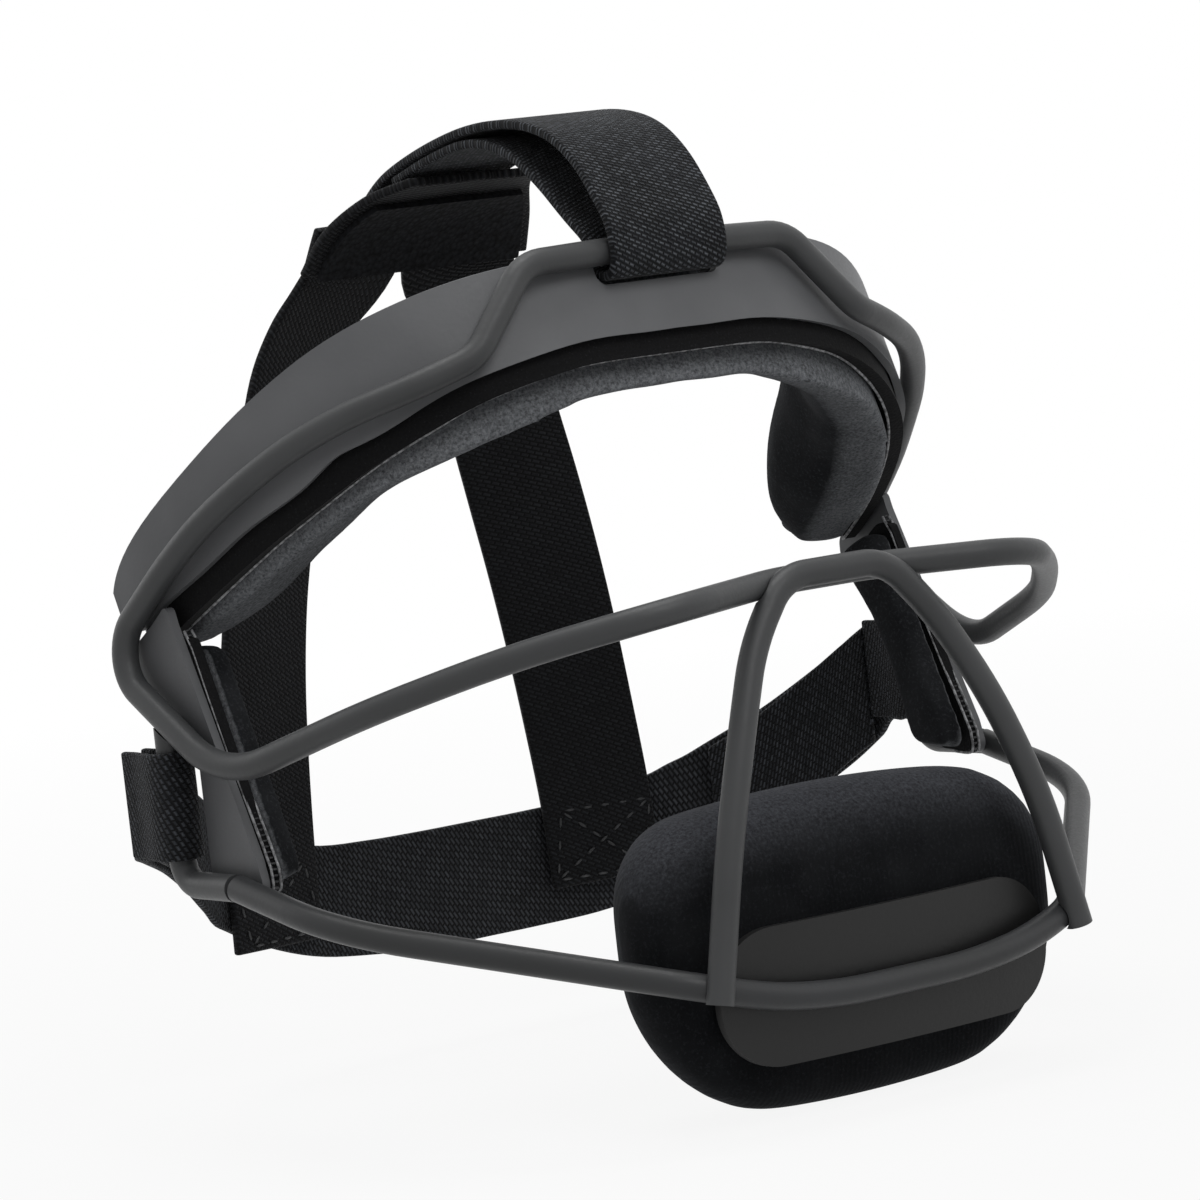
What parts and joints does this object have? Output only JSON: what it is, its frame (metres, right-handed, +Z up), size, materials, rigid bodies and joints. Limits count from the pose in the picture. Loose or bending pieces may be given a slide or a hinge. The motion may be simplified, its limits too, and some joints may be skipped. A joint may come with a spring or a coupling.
{
  "type": "softball face guard",
  "caption": "Black wire softball face guard with a curved brow plate, foam forehead, cheek and chin pads, and an elastic head harness.",
  "frame": {"origin": "centre of the brow wire at the middle of the forehead, where the top strap wraps it", "axes": "+X towards the wearer's left, +Y towards the back of the head, +Z up as worn"},
  "size_m": [0.1802, 0.1543, 0.1785],
  "materials": {
    "coated_steel_wire": "satin",
    "moulded_plate": "matte",
    "backing_board": "matte",
    "pad_cloth": "matte",
    "hook_and_loop": "matte",
    "elastic_strap": "matte",
    "webbing": "matte"
  },
  "bodies": {
    "cage": {"upper_ring_wire": "coated_steel_wire", "chin_wire": "coated_steel_wire", "nose_arch_wire": "coated_steel_wire", "brow_plate": "moulded_plate", "chin_plate": "moulded_plate", "forehead_backing": "backing_board", "forehead_pad": "pad_cloth", "chin_pad": "pad_cloth", "chin_hook_patch": "hook_and_loop", "left_strap_bar": "coated_steel_wire", "right_strap_bar": "coated_steel_wire", "left_side_plate": "moulded_plate", "right_side_plate": "moulded_plate", "left_cheek_backing": "backing_board", "right_cheek_backing": "backing_board", "left_cheek_pad": "pad_cloth", "right_cheek_pad": "pad_cloth", "left_side_loop": "webbing", "right_side_loop": "webbing"},
    "harness": {"top_strap": "elastic_strap", "crown_yoke": "elastic_strap", "crown_loop_patch": "hook_and_loop", "left_riser_strap": "elastic_strap", "right_riser_strap": "elastic_strap", "back_strap": "elastic_strap"},
    "left_tab": {"left_pull_tab": "webbing"},
    "right_tab": {"right_pull_tab": "webbing"}
  },
  "joints": [
    {"name": "harness_swing", "type": "hinge", "parent": "cage", "child": "harness", "pos_m": [0, 0, 0], "axis": [1, 0, 0], "range_deg": [0, 100]},
    {"name": "left_tab_peel", "type": "hinge", "parent": "cage", "child": "left_tab", "pos_m": [0.0831, 0.061, -0.0932], "axis": [0, 0, 1], "range_deg": [0, 90]},
    {"name": "right_tab_peel", "type": "hinge", "parent": "cage", "child": "right_tab", "pos_m": [-0.0831, 0.061, -0.0932], "axis": [0, 0, -1], "range_deg": [0, 90]}
  ]
}
